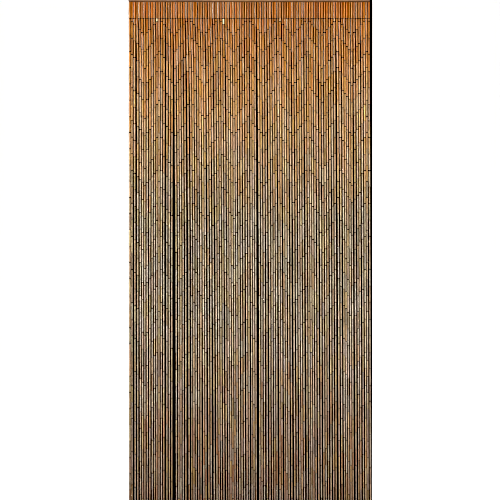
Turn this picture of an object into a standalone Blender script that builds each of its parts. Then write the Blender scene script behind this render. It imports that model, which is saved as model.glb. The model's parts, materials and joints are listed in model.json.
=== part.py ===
"""A bamboo door curtain: strands of threaded bamboo tubes hanging from a wooden rail.

X runs across the doorway, the front faces -Y and +Z is up. The origin is the middle of the
rail's back face, the face that goes against the wall or door frame. Sizes are in metres.
"""

import random
from collections import namedtuple

import bmesh
import bpy

# Rail: a planed batten with eased edges
RAIL_WIDTH = 0.900
RAIL_HEIGHT = 0.025
RAIL_DEPTH = 0.014
RAIL_EASING = 0.0015
RAIL_UNDERSIDE = -RAIL_HEIGHT / 2

# Strip that the cords are fixed to, seated a hair below the rail
SEAT_GAP = 0.0003
STRIP_HEIGHT = 0.0022
STRIP_TOP = RAIL_UNDERSIDE - SEAT_GAP
STRIP_BOTTOM = STRIP_TOP - STRIP_HEIGHT

# Strands: bamboo tubes on a cord, counted from 0 at the left
STRAND_COUNT = 98
WIDTH_AT_RAIL = 0.0078
WIDTH_AT_END = 0.0068
CORD_WIDTH = 0.0030
CLOSEST_GAP = 0.00035
SPAN_AT_RAIL = 0.8915
SPAN_AT_END = 0.8990
LEFT_STRAND = -SPAN_AT_RAIL / 2
STRAND_DEPTH_PLACE = -RAIL_DEPTH / 2
SWAY = 0.0014
STRAND_END = RAIL_UNDERSIDE - 1.975
END_UNEVENNESS = 0.002

# Tubes: the top tubes are level, and the joints under them step down and up in a zigzag
TUBE_LENGTH = 0.060
TUBE_GAP = 0.0019
STEPS_DOWN = 6
STEPS_PER_ZIGZAG = 2 * STEPS_DOWN

# Heights at which every strand has a section, and how far it has come free of its even row
TOP_JOINT = STRIP_BOTTOM - TUBE_LENGTH
Section = namedtuple("Section", "height freedom")
SECTIONS = (
    Section(height=STRIP_BOTTOM, freedom=0.0),
    Section(height=TOP_JOINT - TUBE_GAP, freedom=0.0),
    Section(height=TOP_JOINT - 0.075, freedom=0.5),
    Section(height=TOP_JOINT - 0.150, freedom=0.85),
    Section(height=TOP_JOINT - 0.420, freedom=1.0),
    Section(height=TOP_JOINT - 0.850, freedom=1.0),
    Section(height=TOP_JOINT - 1.350, freedom=1.0),
    Section(height=STRAND_END - END_UNEVENNESS, freedom=1.0),
)
UPPER_HEIGHT = TOP_JOINT - 0.150
MIDDLE_HEIGHT = TOP_JOINT - 0.850
LOWER_HEIGHT = STRAND_END

# Gaps that stay wide open between neighbours, as extra millimetres at three heights
Gap = namedtuple("Gap", "after upper middle lower")
WIDE_GAPS = (
    Gap(after=1, upper=0.9, middle=2.2, lower=4.0),
    Gap(after=2, upper=3.2, middle=1.6, lower=0.2),
    Gap(after=14, upper=1.7, middle=1.8, lower=2.0),
    Gap(after=17, upper=1.0, middle=7.4, lower=8.6),
    Gap(after=22, upper=2.6, middle=3.2, lower=4.0),
    Gap(after=28, upper=0.2, middle=0.6, lower=2.6),
    Gap(after=32, upper=0.2, middle=1.2, lower=3.2),
    Gap(after=37, upper=0.0, middle=1.4, lower=2.2),
    Gap(after=38, upper=2.6, middle=1.0, lower=0.0),
    Gap(after=46, upper=0.8, middle=1.8, lower=2.0),
    Gap(after=51, upper=3.3, middle=5.6, lower=4.8),
    Gap(after=54, upper=1.2, middle=1.0, lower=2.8),
    Gap(after=55, upper=1.6, middle=2.0, lower=1.2),
    Gap(after=59, upper=0.8, middle=1.4, lower=3.4),
    Gap(after=65, upper=1.3, middle=2.4, lower=3.6),
    Gap(after=70, upper=0.4, middle=1.0, lower=1.5),
    Gap(after=76, upper=0.8, middle=1.6, lower=1.2),
    Gap(after=80, upper=0.8, middle=1.4, lower=1.6),
    Gap(after=83, upper=1.8, middle=1.3, lower=2.0),
    Gap(after=85, upper=0.6, middle=1.2, lower=1.2),
    Gap(after=90, upper=0.8, middle=1.2, lower=2.0),
    Gap(after=96, upper=0.4, middle=1.0, lower=1.6),
)
MILLIMETRE = 0.001

# The rest of the spare width is shared out by chance: most gaps are tight and a few are loose
BUNCHING_SEED = 1311
TIGHTEST_SHARE = 0.08
EVEN_SHARE = 0.5
SHARE_CONTRAST = 2.0
REBUNCHING_AT_END = 0.35
SWAY_SEED = 12
END_SEED = 31

Place = namedtuple("Place", "x y")


def between(value, start, end):
    """How far a value has come from start to end, kept within 0 and 1."""
    return min(1.0, max(0.0, (value - start) / (end - start)))


def strand_width(height):
    """Width of a strand at a height: its thicker tubes are threaded above its thinner ones."""
    return WIDTH_AT_RAIL + (WIDTH_AT_END - WIDTH_AT_RAIL) * between(height, TOP_JOINT, STRAND_END)


def gap_width(gap, height):
    """The extra width of a wide gap at a height, in metres."""
    if height > MIDDLE_HEIGHT:
        reach = between(height, UPPER_HEIGHT, MIDDLE_HEIGHT)
        extra = gap.upper + (gap.middle - gap.upper) * reach
    else:
        reach = between(height, MIDDLE_HEIGHT, LOWER_HEIGHT)
        extra = gap.middle + (gap.lower - gap.middle) * reach
    return extra * MILLIMETRE


def loose_shares(chance):
    """How loose each gap is beside the others, tight ones being the most common."""
    return [chance.random() ** SHARE_CONTRAST + TIGHTEST_SHARE for _ in range(STRAND_COUNT - 1)]


def section_places():
    """Where each strand passes through each section: even at the rail, in loose bunches below."""
    bunching = random.Random(BUNCHING_SEED)
    high_shares = loose_shares(bunching)
    low_shares = loose_shares(bunching)
    sway = random.Random(SWAY_SEED)
    rows = []
    for height, freedom in SECTIONS:
        growth = (SPAN_AT_END - SPAN_AT_RAIL) * between(height, TOP_JOINT, STRAND_END)
        wide = {gap.after: gap_width(gap, height) * freedom for gap in WIDE_GAPS}
        mix = between(height, UPPER_HEIGHT, STRAND_END) * REBUNCHING_AT_END
        shares = []
        for high, low in zip(high_shares, low_shares):
            loose = high * (1.0 - mix) + low * mix
            shares.append(EVEN_SHARE * (1.0 - freedom) + loose * freedom)
        closest = strand_width(height) + CLOSEST_GAP
        spare = SPAN_AT_RAIL + growth - closest * (STRAND_COUNT - 1) - sum(wide.values())
        x = LEFT_STRAND
        row = []
        for strand in range(STRAND_COUNT):
            y = STRAND_DEPTH_PLACE + SWAY * freedom * sway.uniform(-1.0, 1.0)
            row.append(Place(x=x, y=y))
            if strand < len(shares):
                extra = wide.get(strand, 0.0) + spare * shares[strand] / sum(shares)
                x += closest + extra
        rows.append(row)
    return rows


def place_at(rows, strand, height):
    """A strand's place at any height, on a straight line between its sections."""
    for index in range(len(SECTIONS) - 1):
        top = SECTIONS[index].height
        bottom = SECTIONS[index + 1].height
        if height >= bottom:
            reach = between(height, top, bottom)
            a = rows[index][strand]
            b = rows[index + 1][strand]
            return Place(x=a.x + (b.x - a.x) * reach, y=a.y + (b.y - a.y) * reach)
    return rows[-1][strand]


def first_length(strand):
    """Length of the tube under the top tube, which steps down and up again along the row."""
    position = (strand - 1) % STEPS_PER_ZIGZAG
    steps_short = abs(position - (STEPS_DOWN - 1)) % STEPS_DOWN
    return TUBE_LENGTH * (1.0 - steps_short / STEPS_DOWN)


def strand_rings(strand, end):
    """Heights and widths of a strand's sections, from under the strip to its end."""
    first_joint = TOP_JOINT - TUBE_GAP - first_length(strand)
    heights = [section.height for section in SECTIONS[1:-1]]
    for joint in (TOP_JOINT, first_joint):
        heights += [joint, joint - TUBE_GAP]
    heights.append(end)
    rings = [(height, strand_width(height)) for height in heights]
    rings += [(joint - TUBE_GAP / 2, CORD_WIDTH) for joint in (TOP_JOINT, first_joint)]
    return sorted(set(rings), reverse=True)


def add_ring(bm, place, height, width):
    """Four corners of a strand's section, front left first, turning to the right."""
    half = width / 2
    corners = ((-half, -half), (half, -half), (half, half), (-half, half))
    return [bm.verts.new((place.x + dx, place.y + dy, height)) for dx, dy in corners]


def add_walls(bm, upper, lower):
    """Four walls between two sections of a strand."""
    for corner in range(4):
        after = (corner + 1) % 4
        bm.faces.new((upper[corner], lower[corner], lower[after], upper[after]))


def add_strip(bm, roots):
    """The strip over all the roots, whose underside is closed between them."""
    lids = []
    for root in roots:
        lids.append([bm.verts.new((v.co.x, v.co.y, STRIP_TOP)) for v in root])
    for index, (root, lid) in enumerate(zip(roots, lids)):
        bm.faces.new((lid[0], lid[1], lid[2], lid[3]))
        bm.faces.new((root[0], root[1], lid[1], lid[0]))
        bm.faces.new((root[2], root[3], lid[3], lid[2]))
        if index < len(roots) - 1:
            next_root = roots[index + 1]
            next_lid = lids[index + 1]
            bm.faces.new((lid[1], next_lid[0], next_lid[3], lid[2]))
            bm.faces.new((root[1], next_root[0], next_lid[0], lid[1]))
            bm.faces.new((next_root[3], root[2], lid[2], next_lid[3]))
            bm.faces.new((root[1], root[2], next_root[3], next_root[0]))
    bm.faces.new((roots[0][3], roots[0][0], lids[0][0], lids[0][3]))
    bm.faces.new((roots[-1][1], roots[-1][2], lids[-1][2], lids[-1][1]))


def add_object(name, bm, material):
    """An object from a finished mesh, its normals outward."""
    bmesh.ops.recalc_face_normals(bm, faces=bm.faces)
    mesh = bpy.data.meshes.new(name)
    bm.to_mesh(mesh)
    bm.free()
    mesh.materials.append(material)
    piece = bpy.data.objects.new(name, mesh)
    bpy.context.collection.objects.link(piece)
    return piece


def make_material(name, colour, roughness):
    material = bpy.data.materials.new(name)
    material.use_nodes = True
    shader = material.node_tree.nodes["Principled BSDF"]
    shader.inputs["Base Color"].default_value = (*colour, 1.0)
    shader.inputs["Roughness"].default_value = roughness
    shader.inputs["Metallic"].default_value = 0.0
    return material


def make_rail():
    """The batten that carries the strands."""
    bm = bmesh.new()
    bmesh.ops.create_cube(bm, size=1.0)
    bmesh.ops.scale(bm, vec=(RAIL_WIDTH, RAIL_DEPTH, RAIL_HEIGHT), verts=bm.verts)
    bmesh.ops.translate(bm, vec=(0.0, STRAND_DEPTH_PLACE, 0.0), verts=bm.verts)
    rail = add_object("rail", bm, make_material("planed_wood", (0.32, 0.18, 0.085), 0.6))
    easing = rail.modifiers.new("easing", "BEVEL")
    easing.width = RAIL_EASING
    easing.segments = 2


def make_strands():
    """All the strands, each by itself down to its end and fused at the root into the strip."""
    rows = section_places()
    chance = random.Random(END_SEED)
    bm = bmesh.new()
    roots = []
    for strand in range(STRAND_COUNT):
        end = STRAND_END + chance.uniform(-END_UNEVENNESS, END_UNEVENNESS)
        root_place = place_at(rows, strand, STRIP_BOTTOM)
        upper = add_ring(bm, root_place, STRIP_BOTTOM, WIDTH_AT_RAIL)
        roots.append(upper)
        for height, width in strand_rings(strand, end):
            lower = add_ring(bm, place_at(rows, strand, height), height, width)
            add_walls(bm, upper, lower)
            upper = lower
        bm.faces.new(upper)
    add_strip(bm, roots)
    add_object("strands", bm, make_material("bamboo", (0.45, 0.26, 0.12), 0.4))


for old in list(bpy.data.objects):
    bpy.data.objects.remove(old, do_unlink=True)

make_rail()
make_strands()
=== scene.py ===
"""Looks of a bamboo door curtain: tubes of bamboo threaded on cords that hang from a wooden rail."""

import json
import math
import random
from collections import namedtuple

import bpy
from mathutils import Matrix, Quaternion, Vector

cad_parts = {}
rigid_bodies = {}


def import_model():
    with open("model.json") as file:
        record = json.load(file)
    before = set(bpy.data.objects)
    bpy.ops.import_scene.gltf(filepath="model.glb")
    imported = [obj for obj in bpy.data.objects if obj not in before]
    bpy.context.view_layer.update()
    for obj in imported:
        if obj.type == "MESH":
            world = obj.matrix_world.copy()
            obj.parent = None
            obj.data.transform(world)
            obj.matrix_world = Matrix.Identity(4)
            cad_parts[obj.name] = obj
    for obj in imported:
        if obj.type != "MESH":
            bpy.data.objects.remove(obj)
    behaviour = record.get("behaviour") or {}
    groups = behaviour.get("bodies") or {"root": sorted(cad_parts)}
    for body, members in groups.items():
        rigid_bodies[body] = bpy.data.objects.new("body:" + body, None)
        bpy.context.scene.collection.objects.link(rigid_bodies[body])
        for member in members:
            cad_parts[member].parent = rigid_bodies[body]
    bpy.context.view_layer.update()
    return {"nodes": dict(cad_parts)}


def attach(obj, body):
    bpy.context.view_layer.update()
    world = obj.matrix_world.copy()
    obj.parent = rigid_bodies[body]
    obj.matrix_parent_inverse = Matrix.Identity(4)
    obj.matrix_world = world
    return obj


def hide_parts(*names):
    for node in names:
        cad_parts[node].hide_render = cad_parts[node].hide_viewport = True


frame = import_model()

# Rail: a batten of softwood, planed on four sides with its edges eased, stained mid brown and
# given one coat of satin lacquer. It carries the whole curtain, and its shape is the frame's own.
RAIL_HEIGHT = 0.025
RAIL_DEPTH = 0.014
RAIL_UNDERSIDE = -RAIL_HEIGHT / 2
# Real grain lines are under 0.3 mm wide, too fine to show, so they are drawn coarser
WOOD_LINE_LENGTH = 0.045
WOOD_LINE_WIDTH = 0.0009
WOOD_RING_WIDTH = 0.006
WOOD_RING_LENGTH = 0.260
WOOD_PALE = "#694d2d"
WOOD_MID = "#51371e"
WOOD_DARK = "#352110"


def linear(colour):
    """An sRGB hex colour as the linear values that a shader takes."""
    channels = [int(colour[start:start + 2], 16) / 255 for start in (1, 3, 5)]
    light = [c / 12.92 if c <= 0.04045 else ((c + 0.055) / 1.055) ** 2.4 for c in channels]
    return (*light, 1.0)


def add_node(tree, kind, settings=None, inputs=None, stops=()):
    """Adds a node. An input is a value, or another node's output to link; stops are a ramp's colours."""
    node = tree.nodes.new(kind)
    for name, value in (settings or {}).items():
        setattr(node, name, value)
    for name, value in (inputs or {}).items():
        if isinstance(value, bpy.types.NodeSocket):
            tree.links.new(value, node.inputs[name])
        else:
            node.inputs[name].default_value = value
    for index, (position, colour) in enumerate(stops):
        elements = node.color_ramp.elements
        stop = elements[index] if index < 2 else elements.new(position)
        stop.position = position
        stop.color = linear(colour)
    return node


def new_finish(name):
    """An empty material, its node tree and its Principled shader."""
    finish = bpy.data.materials.new(name)
    finish.use_nodes = True
    return finish, finish.node_tree, finish.node_tree.nodes["Principled BSDF"]


# Planed softwood under satin lacquer: long streaks along the rail, fine grain lines, a low sheen.
planed_wood, tree, shader = new_finish("planed_softwood")
here = add_node(tree, "ShaderNodeTexCoord")
ring_scale = (1 / WOOD_RING_LENGTH, 1 / WOOD_RING_WIDTH, 1 / WOOD_RING_WIDTH)
ring_place = add_node(
    tree, "ShaderNodeMapping", inputs={"Vector": here.outputs["Object"], "Scale": ring_scale}
)
rings = add_node(
    tree,
    "ShaderNodeTexNoise",
    inputs={"Vector": ring_place.outputs[0], "Scale": 1.0, "Detail": 3.0, "Distortion": 0.6},
)
line_scale = (1 / WOOD_LINE_LENGTH, 1 / WOOD_LINE_WIDTH, 1 / WOOD_LINE_WIDTH)
line_place = add_node(
    tree, "ShaderNodeMapping", inputs={"Vector": here.outputs["Object"], "Scale": line_scale}
)
lines = add_node(
    tree, "ShaderNodeTexNoise", inputs={"Vector": line_place.outputs[0], "Scale": 1.0, "Detail": 2.0}
)
streaks = add_node(
    tree,
    "ShaderNodeMix",
    {"data_type": "FLOAT"},
    {"Factor": 0.35, "A": rings.outputs["Fac"], "B": lines.outputs["Fac"]},
)
grain = add_node(
    tree,
    "ShaderNodeValToRGB",
    inputs={"Fac": streaks.outputs[0]},
    stops=((0.34, WOOD_DARK), (0.62, WOOD_PALE), (0.48, WOOD_MID)),
)
relief = add_node(
    tree, "ShaderNodeBump", inputs={"Height": lines.outputs["Fac"], "Strength": 0.5, "Distance": 0.0001}
)
sheen = add_node(
    tree,
    "ShaderNodeMapRange",
    inputs={
        "Value": lines.outputs["Fac"],
        "From Min": 0.3,
        "From Max": 0.7,
        "To Min": 0.42,
        "To Max": 0.60,
    },
)
tree.links.new(grain.outputs["Color"], shader.inputs["Base Color"])
tree.links.new(relief.outputs["Normal"], shader.inputs["Normal"])
tree.links.new(sheen.outputs[0], shader.inputs["Roughness"])
rail = frame["nodes"]["rail"]
rail.data.materials.clear()
rail.data.materials.append(planed_wood)

# Cords: one of waxed cotton for each strand, about 1.8 mm thick and dark brown. It hangs from the
# tape under the rail, runs through every tube of its strand and shows only at the joints.
STRIP_HEIGHT = 0.0022
SEAT_GAP = 0.0003
STRIP_TOP = RAIL_UNDERSIDE - SEAT_GAP
STRIP_BOTTOM = STRIP_TOP - STRIP_HEIGHT
STRAND_COUNT = 98
WIDTH_AT_RAIL = 0.0078
WIDTH_AT_END = 0.0068
CLOSEST_GAP = 0.00035
SPAN_AT_RAIL = 0.8915
SPAN_AT_END = 0.8990
LEFT_STRAND = -SPAN_AT_RAIL / 2
STRAND_DEPTH_PLACE = -RAIL_DEPTH / 2
SWAY = 0.0014
STRAND_END = RAIL_UNDERSIDE - 1.975
END_UNEVENNESS = 0.002
TUBE_LENGTH = 0.060
TUBE_GAP = 0.0019
TOP_JOINT = STRIP_BOTTOM - TUBE_LENGTH

# Heights at which every strand has a section, and how far it has come free of its even row
Section = namedtuple("Section", "height freedom")
SECTIONS = (
    Section(height=STRIP_BOTTOM, freedom=0.0),
    Section(height=TOP_JOINT - TUBE_GAP, freedom=0.0),
    Section(height=TOP_JOINT - 0.075, freedom=0.5),
    Section(height=TOP_JOINT - 0.150, freedom=0.85),
    Section(height=TOP_JOINT - 0.420, freedom=1.0),
    Section(height=TOP_JOINT - 0.850, freedom=1.0),
    Section(height=TOP_JOINT - 1.350, freedom=1.0),
    Section(height=STRAND_END - END_UNEVENNESS, freedom=1.0),
)
UPPER_HEIGHT = TOP_JOINT - 0.150
MIDDLE_HEIGHT = TOP_JOINT - 0.850
LOWER_HEIGHT = STRAND_END

# Gaps that stay wide open between neighbours, as extra millimetres at three heights
Gap = namedtuple("Gap", "after upper middle lower")
WIDE_GAPS = (
    Gap(after=1, upper=0.9, middle=2.2, lower=4.0),
    Gap(after=2, upper=3.2, middle=1.6, lower=0.2),
    Gap(after=14, upper=1.7, middle=1.8, lower=2.0),
    Gap(after=17, upper=1.0, middle=7.4, lower=8.6),
    Gap(after=22, upper=2.6, middle=3.2, lower=4.0),
    Gap(after=28, upper=0.2, middle=0.6, lower=2.6),
    Gap(after=32, upper=0.2, middle=1.2, lower=3.2),
    Gap(after=37, upper=0.0, middle=1.4, lower=2.2),
    Gap(after=38, upper=2.6, middle=1.0, lower=0.0),
    Gap(after=46, upper=0.8, middle=1.8, lower=2.0),
    Gap(after=51, upper=3.3, middle=5.6, lower=4.8),
    Gap(after=54, upper=1.2, middle=1.0, lower=2.8),
    Gap(after=55, upper=1.6, middle=2.0, lower=1.2),
    Gap(after=59, upper=0.8, middle=1.4, lower=3.4),
    Gap(after=65, upper=1.3, middle=2.4, lower=3.6),
    Gap(after=70, upper=0.4, middle=1.0, lower=1.5),
    Gap(after=76, upper=0.8, middle=1.6, lower=1.2),
    Gap(after=80, upper=0.8, middle=1.4, lower=1.6),
    Gap(after=83, upper=1.8, middle=1.3, lower=2.0),
    Gap(after=85, upper=0.6, middle=1.2, lower=1.2),
    Gap(after=90, upper=0.8, middle=1.2, lower=2.0),
    Gap(after=96, upper=0.4, middle=1.0, lower=1.6),
)
MILLIMETRE = 0.001
BUNCHING_SEED = 1311
TIGHTEST_SHARE = 0.08
EVEN_SHARE = 0.5
SHARE_CONTRAST = 2.0
REBUNCHING_AT_END = 0.35
SWAY_SEED = 12
END_SEED = 31
CORD_RADIUS = 0.0009
CORD_TAIL = 0.0030
CORD_LAY = 0.0016
# Painted shade in the twist's grooves
CORD_GROOVE_SHADE = "#24140a"
CORD_PALE = "#5a3a20"
# Length in metres of one wave of the wave texture at scale 1
PLAIN_WAVE = 0.314


def between(value, start, end):
    """How far a value has come from start to end, kept within 0 and 1."""
    return min(1.0, max(0.0, (value - start) / (end - start)))


def strand_width(height):
    """Width of a strand at a height: its thicker tubes are threaded above its thinner ones."""
    return WIDTH_AT_RAIL + (WIDTH_AT_END - WIDTH_AT_RAIL) * between(height, TOP_JOINT, STRAND_END)


def gap_width(gap, height):
    """The extra width of a wide gap at a height, in metres."""
    if height > MIDDLE_HEIGHT:
        reach = between(height, UPPER_HEIGHT, MIDDLE_HEIGHT)
        extra = gap.upper + (gap.middle - gap.upper) * reach
    else:
        reach = between(height, MIDDLE_HEIGHT, LOWER_HEIGHT)
        extra = gap.middle + (gap.lower - gap.middle) * reach
    return extra * MILLIMETRE


def loose_shares(chance):
    """How loose each gap is beside the others, tight ones being the most common."""
    return [chance.random() ** SHARE_CONTRAST + TIGHTEST_SHARE for _ in range(STRAND_COUNT - 1)]


def section_places():
    """Where each strand passes through each section: even at the rail, in loose bunches below."""
    bunching = random.Random(BUNCHING_SEED)
    high_shares = loose_shares(bunching)
    low_shares = loose_shares(bunching)
    sway = random.Random(SWAY_SEED)
    rows = []
    for height, freedom in SECTIONS:
        growth = (SPAN_AT_END - SPAN_AT_RAIL) * between(height, TOP_JOINT, STRAND_END)
        wide = {gap.after: gap_width(gap, height) * freedom for gap in WIDE_GAPS}
        mix = between(height, UPPER_HEIGHT, STRAND_END) * REBUNCHING_AT_END
        shares = []
        for high, low in zip(high_shares, low_shares):
            loose = high * (1.0 - mix) + low * mix
            shares.append(EVEN_SHARE * (1.0 - freedom) + loose * freedom)
        closest = strand_width(height) + CLOSEST_GAP
        spare = SPAN_AT_RAIL + growth - closest * (STRAND_COUNT - 1) - sum(wide.values())
        x = LEFT_STRAND
        row = []
        for strand in range(STRAND_COUNT):
            y = STRAND_DEPTH_PLACE + SWAY * freedom * sway.uniform(-1.0, 1.0)
            row.append((x, y))
            if strand < len(shares):
                extra = wide.get(strand, 0.0) + spare * shares[strand] / sum(shares)
                x += closest + extra
        rows.append(row)
    return rows


SECTION_PLACES = section_places()


def strand_point(strand, height):
    """The middle of a strand at any height, on a straight line between its sections."""
    for index in range(len(SECTIONS) - 1):
        top = SECTIONS[index].height
        bottom = SECTIONS[index + 1].height
        if height >= bottom or index == len(SECTIONS) - 2:
            reach = between(height, top, bottom)
            start = Vector((*SECTION_PLACES[index][strand], height))
            end = Vector((*SECTION_PLACES[index + 1][strand], height))
            return start.lerp(end, reach)


def select_only(piece):
    """Makes a piece the only one selected, and the active one."""
    bpy.ops.object.select_all(action="DESELECT")
    piece.select_set(True)
    bpy.context.view_layer.objects.active = piece


def finish_piece(piece, finish):
    """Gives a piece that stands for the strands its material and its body."""
    piece.data.materials.clear()
    piece.data.materials.append(finish)
    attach(piece, "root")
    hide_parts("strands")


end_chance = random.Random(END_SEED)
strand_ends = [
    STRAND_END + end_chance.uniform(-END_UNEVENNESS, END_UNEVENNESS) for _ in range(STRAND_COUNT)
]

# Waxed cotton, laid in a twist: near black in its grooves as painted shade, brown on its crowns, a
# dull sheen.
waxed_cotton, tree, shader = new_finish("waxed_cotton_cord")
here = add_node(tree, "ShaderNodeTexCoord")
twist = add_node(
    tree,
    "ShaderNodeTexWave",
    {"bands_direction": "DIAGONAL"},
    {"Vector": here.outputs["Object"], "Scale": PLAIN_WAVE / CORD_LAY, "Distortion": 1.5, "Detail": 1.0},
)
twist_colour = add_node(
    tree,
    "ShaderNodeValToRGB",
    inputs={"Fac": twist.outputs["Fac"]},
    stops=((0.1, CORD_GROOVE_SHADE), (0.9, CORD_PALE)),
)
relief = add_node(
    tree, "ShaderNodeBump", inputs={"Height": twist.outputs["Fac"], "Strength": 0.6, "Distance": 0.0002}
)
wax = add_node(
    tree, "ShaderNodeMapRange", inputs={"Value": twist.outputs["Fac"], "To Min": 0.80, "To Max": 0.60}
)
tree.links.new(twist_colour.outputs["Color"], shader.inputs["Base Color"])
tree.links.new(relief.outputs["Normal"], shader.inputs["Normal"])
tree.links.new(wax.outputs[0], shader.inputs["Roughness"])

cord_line = bpy.data.curves.new("cords", "CURVE")
cord_line.dimensions = "3D"
cord_line.bevel_depth = CORD_RADIUS
cord_line.bevel_resolution = 1
cord_line.use_fill_caps = True
for strand, end in enumerate(strand_ends):
    heights = [STRIP_TOP - STRIP_HEIGHT / 2]
    heights += [section.height for section in SECTIONS[:-1]]
    heights.append(end - CORD_TAIL)
    path = cord_line.splines.new("POLY")
    path.points.add(len(heights) - 1)
    for point, height in zip(path.points, heights):
        point.co = (*strand_point(strand, height), 1.0)
cords = bpy.data.objects.new("cords", cord_line)
bpy.context.collection.objects.link(cords)
select_only(cords)
bpy.ops.object.convert(target="MESH")
finish_piece(cords, waxed_cotton)

# Heading tape: a flat cotton tape folded double and stitched along the rail's underside. Each cord
# is caught in its fold.
TAPE_DEPTH = 0.0072
TAPE_OVERHANG = 0.0038
TAPE_EASING = 0.0007
# Real threads lie about 0.5 mm apart, and their weave is drawn coarser so that it shows
TAPE_WEAVE = 0.0016
# Painted shade in the weave's hollows
TAPE_HOLLOW_SHADE = "#382316"
TAPE_PALE = "#80604a"

# Woven cotton, dyed brown: a small even weave, darker in its hollows as painted shade, and no
# shine.
woven_tape, tree, shader = new_finish("woven_cotton_tape")
here = add_node(tree, "ShaderNodeTexCoord")
warp, weft = (
    add_node(
        tree,
        "ShaderNodeTexWave",
        {"bands_direction": direction},
        {"Vector": here.outputs["Object"], "Scale": PLAIN_WAVE / TAPE_WEAVE, "Distortion": 0.4},
    )
    for direction in ("X", "Y")
)
weave = add_node(
    tree,
    "ShaderNodeMath",
    {"operation": "MULTIPLY"},
    {0: warp.outputs["Fac"], 1: weft.outputs["Fac"]},
)
weave_colour = add_node(
    tree,
    "ShaderNodeValToRGB",
    inputs={"Fac": weave.outputs[0]},
    stops=((0.0, TAPE_HOLLOW_SHADE), (1.0, TAPE_PALE)),
)
relief = add_node(
    tree, "ShaderNodeBump", inputs={"Height": weave.outputs[0], "Strength": 0.5, "Distance": 0.0002}
)
nap = add_node(
    tree, "ShaderNodeMapRange", inputs={"Value": weave.outputs[0], "To Min": 0.95, "To Max": 0.80}
)
tree.links.new(weave_colour.outputs["Color"], shader.inputs["Base Color"])
tree.links.new(relief.outputs["Normal"], shader.inputs["Normal"])
tree.links.new(nap.outputs[0], shader.inputs["Roughness"])


def settle(piece):
    """Puts a piece's place, turn and size into its mesh."""
    select_only(piece)
    bpy.ops.object.transform_apply(location=True, rotation=True, scale=True)


def apply_modifier(piece, modifier):
    """Puts a modifier's work into a piece's mesh."""
    select_only(piece)
    bpy.ops.object.modifier_apply(modifier=modifier.name)


bpy.ops.mesh.primitive_cube_add(
    size=1.0,
    location=(0.0, STRAND_DEPTH_PLACE, STRIP_TOP - STRIP_HEIGHT / 2),
    scale=(SPAN_AT_RAIL + 2 * TAPE_OVERHANG, TAPE_DEPTH, STRIP_HEIGHT),
)
tape = bpy.context.object
tape.name = "heading_tape"
settle(tape)
fold = tape.modifiers.new("fold", "BEVEL")
fold.width = TAPE_EASING
fold.segments = 3
apply_modifier(tape, fold)
bpy.ops.object.shade_smooth_by_angle(angle=math.radians(40))
finish_piece(tape, woven_tape)

# Tubes: thin bamboo sawn to length with its skin left on, its pith bored through for the cord.
# Nothing fixes them but the cord: each rests on the one below, down to the knot at the end.
TUBE_RADIUS = 0.00385
TUBE_SIDES = 8
RIM_WIDTH = 0.0006
RIM_DROP = 0.0003
BORE_RADIUS = 0.0017
BORE_DEPTH = 0.0035
STEPS_DOWN = 6
STEPS_PER_ZIGZAG = 2 * STEPS_DOWN
STRANDS_PER_PIECE = 11
SHORTEST_TUBE = 0.012
LAST_TUBE_LIFT = 0.0035
END_STRETCH = TUBE_LENGTH / 4
GAP_AT_END = 0.0008
GAP_SHARES = (0.8, 1.4)
TOP_JOINT_GAP = 0.0016
TOP_JOINT_UNEVENNESS = 0.0011
TOP_JOINT_SEED = 41
TUBE_SEED = 77

# Length of a full tube with its gap, in mm, by how many strands away the zigzag's low point is
PITCHES = (62.4, 62.2, 62.0, 61.75, 61.75, 61.75, 60.7)
PITCH_SPREAD = 0.0004

# Width of a tube as a share of its strand's: the top row is of thicker ones that almost touch
Width = namedtuple("Width", "usual spread least most")
TOP_ROW_WIDTH = Width(usual=1.025, spread=0.05, least=0.90, most=1.13)
STRAND_TUBE_WIDTH = Width(usual=0.965, spread=0.04, least=0.87, most=1.03)
SLIMMER_AT_END = 0.035
TOP_ROW_LEAN = 0.00022

# Each kind of tube differs a little in how far it bends and its node stands out, both in mm, and
# in how it swells at its middle and tapers
Kind = namedtuple("Kind", "name bend node swell taper")
KINDS = (
    Kind(name="tube_a_straight", bend=0.0, node=0.0, swell=1.0, taper=1.0),
    Kind(name="tube_b_bent", bend=0.14, node=0.0, swell=1.01, taper=0.99),
    Kind(name="tube_c_tapered", bend=0.05, node=0.0, swell=1.0, taper=0.965),
    Kind(name="tube_d_waisted", bend=-0.08, node=0.0, swell=0.975, taper=1.0),
    Kind(name="tube_e_noded", bend=0.0, node=0.16, swell=0.99, taper=0.98),
)
NODE_WIDTH = 0.0013
NODE_HEIGHT = 0.011
NODE_DARKENING = 0.5

# Thin tubes in the top row that leave a dark gap beside them, as shares of their usual width
THIN_TOP_TUBES = {3: 0.84, 14: 0.86, 15: 0.86, 23: 0.84, 51: 0.86}

# Short ends left pale, by strand: how far each is from the stained colour to the pale one
PALE_SHORTS = {11: 1.0, 38: 0.9, 61: 0.3, 83: 0.25}

# How much tubes differ from each other, in the fresh stain above and in the worn skin below
Spread = namedtuple("Spread", "fresh worn")
TONE_SPREAD = Spread(fresh=0.08, worn=0.13)
HUE_SPREAD = Spread(fresh=0.35, worn=1.0)
DEPTH_SPREAD = Spread(fresh=0.08, worn=0.30)
TOP_ROW_TONE_SPREAD = 0.11
STRAND_TONE_SPREAD = 0.05
# Heights where the stain begins to wear off, and where it has given way to worn skin
WEAR_STARTS = -0.1
WEAR_FULL = -0.9

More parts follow.
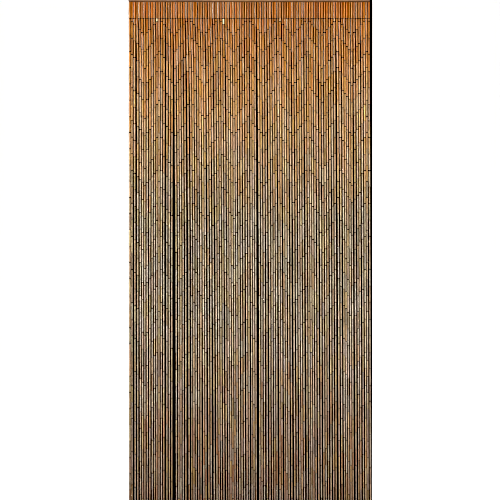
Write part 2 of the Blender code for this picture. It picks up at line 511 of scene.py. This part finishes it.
# Skin colour by height, from the curtain's ends up to its top. It is partly the stain's own change
# and partly painted light: painted sheen greys it from the middle down, and painted fall-off of
# light darkens its lowest part.
Skin = namedtuple("Skin", "height colour")
SKIN_AND_LIGHT_BY_HEIGHT = (
    Skin(height=-2.000, colour="#5c4c3d"),
    Skin(height=-1.700, colour="#705e4c"),
    Skin(height=-1.250, colour="#7b6e5d"),
    Skin(height=-0.850, colour="#796c59"),
    Skin(height=-0.500, colour="#887052"),
    Skin(height=-0.250, colour="#8a6841"),
    Skin(height=-0.010, colour="#81511f"),
)
# Sawn ends and bores are painted this dark brown: partly the end grain's own colour, partly painted shade
# in the joints between tubes and inside the bores.
SAWN_END_AND_SHADE_COLOUR = "#3a2211"
PALE_COLOUR = "#b5a88c"
# Real fibres are about 0.3 mm wide, too fine to show, so they are drawn coarser
FIBRE_WIDTH = 0.0008
FIBRE_LENGTH = 0.030
PATCH_WIDTH = 0.004
PATCH_LENGTH = 0.016
# How far a tube's own hue turns the skin's, about a middle that is slightly yellower
HUE_TURN = 0.019
HUE_MIDDLE = 0.503
# How far apart the patterns of two tubes are cut from the same noise
PATTERN_STEP = 90.0


def open_at(piece, kind, wanted):
    """Opens a piece for editing with those points, edges or faces selected that a test picks."""
    select_only(piece)
    bpy.ops.object.mode_set(mode="EDIT")
    bpy.ops.mesh.select_mode(type=kind)
    bpy.ops.mesh.select_all(action="DESELECT")
    bpy.ops.object.mode_set(mode="OBJECT")
    mesh = piece.data
    for part in {"VERT": mesh.vertices, "EDGE": mesh.edges, "FACE": mesh.polygons}[kind]:
        part.select = wanted(part)
    bpy.ops.object.mode_set(mode="EDIT")


def close():
    """Ends the editing of a piece."""
    bpy.ops.object.mode_set(mode="OBJECT")


def new_shelf(name):
    """A collection that holds the kinds of bead until all of them are threaded."""
    shelf = bpy.data.collections.new(name)
    bpy.context.scene.collection.children.link(shelf)
    return shelf


def put_on_shelf(piece, shelf):
    """Takes a finished kind of bead out of the scene and onto its shelf."""
    for place in piece.users_collection:
        place.objects.unlink(piece)
    shelf.objects.link(piece)


def rise(piece, edge):
    """How far one end of an edge is above the other."""
    low, high = (piece.data.vertices[index].co.z for index in edge.vertices)
    return abs(high - low)


def on_node(point):
    """Whether a tube's point is on the crown of its node."""
    return abs(point.co.z - NODE_HEIGHT) < NODE_WIDTH / 2


def make_tube(kind, shelf):
    """One kind of tube, standing on end about the origin, with eased rims and a bored pith."""
    bpy.ops.mesh.primitive_cylinder_add(
        vertices=TUBE_SIDES, radius=TUBE_RADIUS, depth=TUBE_LENGTH - 2 * RIM_DROP, end_fill_type="NGON"
    )
    tube = bpy.context.object
    tube.name = kind.name
    open_at(tube, "EDGE", lambda edge: rise(tube, edge) > RIM_DROP)
    bpy.ops.mesh.subdivide(number_cuts=1)
    close()
    open_at(tube, "FACE", lambda face: abs(face.normal.z) > 0.9)
    wall = TUBE_RADIUS - RIM_WIDTH - BORE_RADIUS
    bpy.ops.mesh.inset(thickness=RIM_WIDTH, depth=RIM_DROP, use_individual=True)
    bpy.ops.mesh.inset(thickness=wall, depth=0.0, use_individual=True)
    bpy.ops.mesh.inset(thickness=RIM_WIDTH / 4, depth=-BORE_DEPTH, use_individual=True)
    close()
    open_at(tube, "VERT", lambda point: abs(point.co.z) < RIM_DROP)
    bpy.ops.transform.resize(value=(kind.swell, kind.swell, 1.0))
    bpy.ops.transform.translate(value=(kind.bend * MILLIMETRE, 0.0, 0.0))
    if kind.node:
        bpy.ops.mesh.bevel(offset=NODE_WIDTH, segments=2, affect="EDGES")
        bpy.ops.transform.translate(value=(0.0, 0.0, NODE_HEIGHT))
        close()
        open_at(tube, "VERT", on_node)
        proud = 1.0 + kind.node * MILLIMETRE / TUBE_RADIUS
        bpy.ops.transform.resize(value=(proud, proud, 1.0))
    close()
    open_at(tube, "VERT", lambda point: point.co.z > END_STRETCH)
    bpy.ops.transform.resize(value=(kind.taper, kind.taper, 1.0))
    close()
    bpy.ops.object.shade_smooth_by_angle(angle=math.radians(50))
    # Ends and bores are marked for the dark colour, partly end grain and partly painted shade in the
    # joints and bores; the crown of a node is marked for its own darker ring.
    cut = tube.data.attributes.new("cut", "FLOAT", "POINT")
    for point, share in zip(tube.data.vertices, cut.data):
        inward = math.hypot(point.co.x, point.co.y) < TUBE_RADIUS - RIM_WIDTH / 2
        share.value = 1.0 if inward and abs(point.co.z) > END_STRETCH else 0.0
        if kind.node and on_node(point):
            share.value = NODE_DARKENING
    put_on_shelf(tube, shelf)


def thread(name, shelf, beads):
    """One mesh of all the beads: each a copy of one kind from the shelf, at its own place and size."""
    carrier = bpy.data.meshes.new(name)
    carrier.from_pydata([bead.place for bead in beads], [], [])
    for attribute, form, field in (
        ("turn", "FLOAT_VECTOR", "vector"),
        ("size", "FLOAT_VECTOR", "vector"),
        ("kind", "INT", "value"),
        ("tone", "FLOAT", "value"),
        ("hue", "FLOAT", "value"),
        ("depth", "FLOAT", "value"),
        ("pale", "FLOAT", "value"),
    ):
        layer = carrier.attributes.new(attribute, form, "POINT")
        for bead, entry in zip(beads, layer.data):
            setattr(entry, field, getattr(bead, attribute))
    piece = bpy.data.objects.new(name, carrier)
    bpy.context.collection.objects.link(piece)
    tree = bpy.data.node_groups.new(name, "GeometryNodeTree")
    tree.interface.new_socket("Geometry", in_out="INPUT", socket_type="NodeSocketGeometry")
    tree.interface.new_socket("Geometry", in_out="OUTPUT", socket_type="NodeSocketGeometry")
    points = add_node(tree, "NodeGroupInput")
    bead_kinds = add_node(
        tree, "GeometryNodeCollectionInfo", inputs={"Collection": shelf, "Separate Children": True}
    )
    kind, turn, size = (
        add_node(tree, "GeometryNodeInputNamedAttribute", {"data_type": form}, {"Name": attribute})
        for attribute, form in (("kind", "INT"), ("turn", "FLOAT_VECTOR"), ("size", "FLOAT_VECTOR"))
    )
    copies = add_node(
        tree,
        "GeometryNodeInstanceOnPoints",
        inputs={
            "Points": points.outputs["Geometry"],
            "Instance": bead_kinds.outputs[0],
            "Pick Instance": True,
            "Instance Index": kind.outputs["Attribute"],
            "Rotation": turn.outputs["Attribute"],
            "Scale": size.outputs["Attribute"],
        },
    )
    whole = add_node(tree, "GeometryNodeRealizeInstances", inputs={"Geometry": copies.outputs[0]})
    add_node(tree, "NodeGroupOutput", inputs={"Geometry": whole.outputs[0]})
    threading = piece.modifiers.new("threading", "NODES")
    threading.node_group = tree
    apply_modifier(piece, threading)
    return piece


tube_shelf = new_shelf("tube_kinds")
for kind in KINDS:
    make_tube(kind, tube_shelf)

# A bead is a tube or a knot on its cord: how it lies, which kind it is, and how its colour differs
Bead = namedtuple("Bead", "place turn size kind tone hue depth pale", defaults=(0, 1.0, 0.0, 1.0, 0.0))


def spread_at(spread, wear):
    """How much tubes differ at a share of the full wear."""
    return spread.fresh + (spread.worn - spread.fresh) * wear


def tube_bead(top, bottom, width, chance, wear, tone, pale=0.0):
    """A tube between two points, of a kind, a turn, a hue and a depth of colour by chance."""
    axis = (top - bottom) * chance.choice((-1.0, 1.0))
    turn = axis.to_track_quat("Z", "Y") @ Quaternion((0.0, 0.0, 1.0), chance.uniform(0.0, math.tau))
    across = width / (2 * TUBE_RADIUS)
    return Bead(
        place=(top + bottom) / 2,
        turn=turn.to_euler(),
        size=(across, across, axis.length / TUBE_LENGTH),
        kind=chance.randrange(len(KINDS)),
        tone=tone,
        hue=chance.uniform(-1.0, 1.0) * spread_at(HUE_SPREAD, wear),
        depth=1.0 + chance.uniform(-1.0, 1.0) * spread_at(DEPTH_SPREAD, wear),
        pale=pale,
    )


def chosen_width(width, height, chance):
    """A tube's width in metres, where its top is at the height given."""
    share = min(width.most, max(width.least, chance.gauss(width.usual, width.spread)))
    share -= SLIMMER_AT_END * between(height, UPPER_HEIGHT, STRAND_END)
    return share * strand_width(height)


def strands_from_low(strand):
    """How many strands away the zigzag's low point is."""
    return abs((strand - 1) % STEPS_PER_ZIGZAG - (STEPS_DOWN - 1))


def first_length(strand):
    """Length of the tube under the top tube, which steps down and up again along the row."""
    return TUBE_LENGTH * (1.0 - strands_from_low(strand) % STEPS_DOWN / STEPS_DOWN)


top_joint_chance = random.Random(TOP_JOINT_SEED)
top_joints = [
    TOP_JOINT + top_joint_chance.uniform(-TOP_JOINT_UNEVENNESS, TOP_JOINT_UNEVENNESS)
    for _ in range(STRAND_COUNT)
]


def joint_gap(height):
    """How far apart two tubes are at a joint: the lower ones are pressed closer together."""
    return TUBE_GAP + (GAP_AT_END - TUBE_GAP) * between(height, UPPER_HEIGHT, STRAND_END)


def tube_ends(strand, end, chance):
    """Heights of the top and bottom of each tube under the top row, the last one cut to the end."""
    pitch = PITCHES[strands_from_low(strand)] * MILLIMETRE
    top = top_joints[strand] - TOP_JOINT_GAP
    bottom = TOP_JOINT - TUBE_GAP - first_length(strand)
    ends = []
    while bottom - TUBE_GAP - SHORTEST_TUBE > end:
        ends.append((top, bottom))
        top = bottom - joint_gap(bottom) * chance.uniform(*GAP_SHARES)
        bottom += chance.uniform(-PITCH_SPREAD, PITCH_SPREAD) - pitch
    ends.append((top, end))
    return ends


# Bamboo skin, sanded and lacquered: straight fibres along each tube, every tube its own shade, a
# semi-gloss, and dark sawn ends, partly the end grain's own colour and partly painted shade in the
# joints and bores. Lower down the skin is greyer and darker, partly the stain's own change and
# partly painted sheen and painted fall-off of light, and its shades differ more.
bamboo, tree, shader = new_finish("lacquered_bamboo_skin")
here = add_node(tree, "ShaderNodeTexCoord")
place = add_node(tree, "ShaderNodeSeparateXYZ", inputs={0: here.outputs["Object"]})
lowest = SKIN_AND_LIGHT_BY_HEIGHT[0].height
highest = SKIN_AND_LIGHT_BY_HEIGHT[-1].height
drop = add_node(
    tree,
    "ShaderNodeMapRange",
    inputs={"Value": place.outputs["Z"], "From Min": lowest, "From Max": highest},
)
skin_and_light_stops = [((skin.height - lowest) / (highest - lowest), skin.colour) for skin in SKIN_AND_LIGHT_BY_HEIGHT]
# The skin's colour by height, with its painted sheen and painted fall-off of light
skin = add_node(
    tree,
    "ShaderNodeValToRGB",
    inputs={"Fac": drop.outputs[0]},
    stops=[skin_and_light_stops[0], skin_and_light_stops[-1], *skin_and_light_stops[1:-1]],
)
tone, hue, depth, pale, cut = (
    add_node(tree, "ShaderNodeAttribute", {"attribute_name": name})
    for name in ("tone", "hue", "depth", "pale", "cut")
)
own_noise = add_node(
    tree, "ShaderNodeMath", {"operation": "MULTIPLY"}, {0: hue.outputs["Fac"], 1: PATTERN_STEP}
)
fibre_scale = (1 / FIBRE_WIDTH, 1 / FIBRE_WIDTH, 1 / FIBRE_LENGTH)
fibre_place = add_node(
    tree, "ShaderNodeMapping", inputs={"Vector": here.outputs["Object"], "Scale": fibre_scale}
)
fibres = add_node(
    tree,
    "ShaderNodeTexNoise",
    {"noise_dimensions": "4D"},
    {"Vector": fibre_place.outputs[0], "W": own_noise.outputs[0], "Scale": 1.0, "Detail": 2.0},
)
patch_scale = (1 / PATCH_WIDTH, 1 / PATCH_WIDTH, 1 / PATCH_LENGTH)
patch_place = add_node(
    tree, "ShaderNodeMapping", inputs={"Vector": here.outputs["Object"], "Scale": patch_scale}
)
patches = add_node(
    tree,
    "ShaderNodeTexNoise",
    {"noise_dimensions": "4D"},
    {"Vector": patch_place.outputs[0], "W": own_noise.outputs[0], "Scale": 1.0, "Detail": 2.0},
)
# How a pattern is read: the stretch of it that counts, and what it gives at both ends of that.
# Fibres and patches shade the skin, fibres make it dull, and patches make its lacquer uneven.
Reading = namedtuple("Reading", "pattern darkest palest at_darkest at_palest")
streak, patch, dullness, lacquer = (
    add_node(
        tree,
        "ShaderNodeMapRange",
        inputs={
            "Value": reading.pattern.outputs["Fac"],
            "From Min": reading.darkest,
            "From Max": reading.palest,
            "To Min": reading.at_darkest,
            "To Max": reading.at_palest,
        },
    )
    for reading in (
        Reading(pattern=fibres, darkest=0.32, palest=0.68, at_darkest=0.72, at_palest=1.14),
        Reading(pattern=patches, darkest=0.30, palest=0.70, at_darkest=0.84, at_palest=1.15),
        Reading(pattern=fibres, darkest=0.30, palest=0.70, at_darkest=0.68, at_palest=0.52),
        Reading(pattern=patches, darkest=0.30, palest=0.70, at_darkest=0.42, at_palest=0.27),
    )
)
own_shade = add_node(
    tree, "ShaderNodeMath", {"operation": "MULTIPLY"}, {0: tone.outputs["Fac"], 1: streak.outputs[0]}
)
shade = add_node(
    tree, "ShaderNodeMath", {"operation": "MULTIPLY"}, {0: own_shade.outputs[0], 1: patch.outputs[0]}
)
own_hue = add_node(
    tree,
    "ShaderNodeMath",
    {"operation": "MULTIPLY_ADD"},
    {0: hue.outputs["Fac"], 1: HUE_TURN, 2: HUE_MIDDLE},
)
tinted = add_node(
    tree,
    "ShaderNodeHueSaturation",
    inputs={
        "Color": skin.outputs["Color"],
        "Hue": own_hue.outputs[0],
        "Saturation": depth.outputs["Fac"],
        "Value": shade.outputs[0],
    },
)
paled = add_node(
    tree,
    "ShaderNodeMix",
    {"data_type": "RGBA"},
    {"Factor": pale.outputs["Fac"], 6: tinted.outputs["Color"], 7: linear(PALE_COLOUR)},
)
# Sawn ends and bores darkened: partly end grain, partly painted shade in the joints and bores
sawn_and_shaded = add_node(
    tree,
    "ShaderNodeMix",
    {"data_type": "RGBA"},
    {"Factor": cut.outputs["Fac"], 6: paled.outputs[2], 7: linear(SAWN_END_AND_SHADE_COLOUR)},
)
relief = add_node(
    tree, "ShaderNodeBump", inputs={"Height": fibres.outputs["Fac"], "Strength": 0.7, "Distance": 0.00015}
)
tree.links.new(sawn_and_shaded.outputs[2], shader.inputs["Base Color"])
tree.links.new(relief.outputs["Normal"], shader.inputs["Normal"])
tree.links.new(dullness.outputs[0], shader.inputs["Roughness"])
tree.links.new(lacquer.outputs[0], shader.inputs["Coat Roughness"])
shader.inputs["Specular IOR Level"].default_value = 0.2
shader.inputs["Coat Weight"].default_value = 0.8

tube_chance = random.Random(TUBE_SEED)
top_row = []
for strand in range(STRAND_COUNT):
    top = strand_point(strand, STRIP_BOTTOM)
    bottom = strand_point(strand, top_joints[strand])
    top.x += tube_chance.uniform(-TOP_ROW_LEAN, TOP_ROW_LEAN)
    bottom.x += tube_chance.uniform(-TOP_ROW_LEAN, TOP_ROW_LEAN)
    tone = tube_chance.gauss(1.0, TOP_ROW_TONE_SPREAD)
    width = chosen_width(TOP_ROW_WIDTH, top.z, tube_chance) * THIN_TOP_TUBES.get(strand, 1.0)
    top_row.append(tube_bead(top, bottom, width, tube_chance, wear=0.0, tone=tone))
finish_piece(thread("top_tubes", tube_shelf, top_row), bamboo)

for first in range(0, STRAND_COUNT, STRANDS_PER_PIECE):
    beads = []
    for strand in range(first, min(first + STRANDS_PER_PIECE, STRAND_COUNT)):
        strand_tone = tube_chance.gauss(1.0, STRAND_TONE_SPREAD)
        tubes = tube_ends(strand, strand_ends[strand] + LAST_TUBE_LIFT, tube_chance)
        for index, (top, bottom) in enumerate(tubes):
            wear = between(top, WEAR_STARTS, WEAR_FULL)
            tone = strand_tone * tube_chance.gauss(1.0, spread_at(TONE_SPREAD, wear))
            pale = PALE_SHORTS.get(strand, 0.0) if index == 0 else 0.0
            ends = (strand_point(strand, top), strand_point(strand, bottom))
            width = chosen_width(STRAND_TUBE_WIDTH, top, tube_chance)
            beads.append(tube_bead(*ends, width, tube_chance, wear, tone, pale))
    name = f"strand_tubes_{first // STRANDS_PER_PIECE + 1:02d}"
    finish_piece(thread(name, tube_shelf, beads), bamboo)

# Knots: each waxed cord ends in an overhand knot under its last tube, pulled tight by hand, with a
# short tail. The knot carries every tube of its strand.
KNOT_RADIUS = 0.00125
KNOT_THICKNESS = 0.00085
KNOT_DROP = 0.00136
KNOT_SKEW = 0.00051
KNOT_SIZE = (1.0, 1.0, 1.1)

knot_shelf = new_shelf("knot_kinds")
bpy.ops.mesh.primitive_torus_add(
    major_segments=8, minor_segments=6, major_radius=KNOT_RADIUS, minor_radius=KNOT_THICKNESS
)
knot = bpy.context.object
knot.name = "knot_pulled_tight"
open_at(knot, "VERT", lambda point: point.co.x > 0.0)
bpy.ops.transform.translate(value=(0.0, 0.0, KNOT_SKEW))
close()
bpy.ops.object.shade_smooth()
put_on_shelf(knot, knot_shelf)
knots = []
for strand, end in enumerate(strand_ends):
    turn = Quaternion((0.0, 0.0, 1.0), tube_chance.uniform(0.0, math.tau)).to_euler()
    place = strand_point(strand, end + LAST_TUBE_LIFT - KNOT_DROP)
    knots.append(Bead(place=place, turn=turn, size=KNOT_SIZE))
finish_piece(thread("knots", knot_shelf, knots), waxed_cotton)

for shelf in (tube_shelf, knot_shelf):
    for kind in list(shelf.objects):
        bpy.data.objects.remove(kind, do_unlink=True)
    bpy.data.collections.remove(shelf)

# Studio: a pale painted floor, and well behind the curtain a standing panel of black cloth that
# shows between the strands. Neither is part of the curtain.
FLOOR_HEIGHT = -2.170
FLOOR_WIDTH = 160.0
FLOOR_FRONT = -12.0
FLOOR_BACK = 120.0
CAMERA_LENS = 800.0
SENSOR_WIDTH = 36.0
FRAME_HEIGHT = 1.865
FRAME_CENTRE = Vector((0.0026, STRAND_DEPTH_PLACE, -0.940))
CAMERA_ELEVATION = math.radians(3.0)
PANEL_DISTANCE = 2.3
PANEL_LEFT_SEEN = -0.4487
PANEL_RIGHT_SEEN = 0.4577
PANEL_TOP_SEEN = -0.004
LIGHT_AIM = (0.0, 0.0, -0.95)

bpy.ops.mesh.primitive_plane_add(
    size=1.0, location=(0.0, (FLOOR_FRONT + FLOOR_BACK) / 2, FLOOR_HEIGHT)
)
floor = bpy.context.object
floor.name = "floor"
floor.scale = (FLOOR_WIDTH, FLOOR_BACK - FLOOR_FRONT, 1.0)
settle(floor)

# Flat white paint: an even pale ground without shine.
floor_paint, tree, shader = new_finish("white_floor_paint")
shader.inputs["Base Color"].default_value = linear("#fbfaf8")
shader.inputs["Roughness"].default_value = 0.8
floor.data.materials.append(floor_paint)

# A long lens from far off, so that the strands hang parallel in the picture
camera_distance = FRAME_HEIGHT / SENSOR_WIDTH * CAMERA_LENS
back = Vector((0.0, -math.cos(CAMERA_ELEVATION), math.sin(CAMERA_ELEVATION)))
camera_data = bpy.data.cameras.new("camera")
camera_data.lens = CAMERA_LENS
camera_data.sensor_width = SENSOR_WIDTH
camera_data.clip_start = 1.0
camera_data.clip_end = 400.0
camera = bpy.data.objects.new("camera", camera_data)
bpy.context.scene.collection.objects.link(camera)
camera.location = FRAME_CENTRE + back * camera_distance
camera.rotation_euler = (-back).to_track_quat("-Z", "Y").to_euler()
bpy.context.scene.camera = camera


def behind(x, z):
    """The point of the panel that the camera sees behind a point of the curtain."""
    near = Vector((x, STRAND_DEPTH_PLACE, z))
    reach = (PANEL_DISTANCE - camera.location.y) / (near.y - camera.location.y)
    return camera.location.lerp(near, reach)


panel_left = behind(PANEL_LEFT_SEEN, 0.0).x
panel_right = behind(PANEL_RIGHT_SEEN, 0.0).x
panel_top = behind(0.0, PANEL_TOP_SEEN).z
bpy.ops.mesh.primitive_plane_add(
    size=1.0,
    location=((panel_left + panel_right) / 2, PANEL_DISTANCE, (panel_top + FLOOR_HEIGHT) / 2),
    rotation=(math.radians(90.0), 0.0, 0.0),
)
panel = bpy.context.object
panel.name = "black_backdrop"
panel.scale = (panel_right - panel_left, panel_top - FLOOR_HEIGHT, 1.0)
settle(panel)

# Black cloth: no shine at all, so that the gaps between the strands stay dark.
black_cloth, tree, shader = new_finish("black_backdrop_cloth")
shader.inputs["Base Color"].default_value = linear("#0d0908")
shader.inputs["Roughness"].default_value = 1.0
shader.inputs["Specular IOR Level"].default_value = 0.0
panel.data.materials.append(black_cloth)


def add_light(kind, name, place, **settings):
    """A light at a place, aimed at the middle of the curtain."""
    light = bpy.data.lights.new(name, kind)
    for setting, value in settings.items():
        setattr(light, setting, value)
    lamp = bpy.data.objects.new(name, light)
    bpy.context.scene.collection.objects.link(lamp)
    lamp.location = place
    lamp.rotation_euler = (Vector(LIGHT_AIM) - Vector(place)).to_track_quat("-Z", "Y").to_euler()


add_light("SUN", "overhead_bank", place=(0.0, -5.0, 5.0), energy=3.75, angle=math.radians(20.0))
for side in (-1.0, 1.0):
    add_light(
        "AREA",
        "strip_softbox",
        place=(side * 1.15, -7.0, -1.25),
        energy=360.0,
        shape="RECTANGLE",
        size=0.5,
        size_y=0.9,
    )
add_light("AREA", "back_softbox", place=(-4.0, 6.5, 1.0), energy=800.0, size=2.0)

# The room is white around the floor and grey overhead, and dim on the camera's side, where the
# lamps give the light.
world = bpy.data.worlds.new("studio_walls")
world.use_nodes = True
tree = world.node_tree
direction = add_node(tree, "ShaderNodeTexCoord")
height = add_node(tree, "ShaderNodeSeparateXYZ", inputs={0: direction.outputs["Generated"]})
walls = add_node(
    tree,
    "ShaderNodeValToRGB",
    inputs={"Fac": height.outputs["Z"]},
    stops=((0.10, "#ffffff"), (0.35, "#808080")),
)
front = add_node(
    tree,
    "ShaderNodeMapRange",
    inputs={
        "Value": height.outputs["Y"],
        "From Min": -0.4,
        "From Max": -0.1,
        "To Min": 0.1,
        "To Max": 1.0,
    },
)
room = add_node(
    tree,
    "ShaderNodeMix",
    {"data_type": "RGBA"},
    {"Factor": front.outputs[0], 6: (0.0, 0.0, 0.0, 1.0), 7: walls.outputs["Color"]},
)
tree.links.new(room.outputs[2], tree.nodes["Background"].inputs["Color"])
tree.nodes["Background"].inputs["Strength"].default_value = 1.15
bpy.context.scene.world = world

# A crisp picture with its black a little raised, as a small sharpened one has
bpy.context.scene.cycles.filter_width = 0.8
look = bpy.context.scene.view_settings
look.view_transform = "Standard"
look.gamma = 0.72
look.use_curve_mapping = True
look.curve_mapping.black_level = (0.05, 0.05, 0.05)
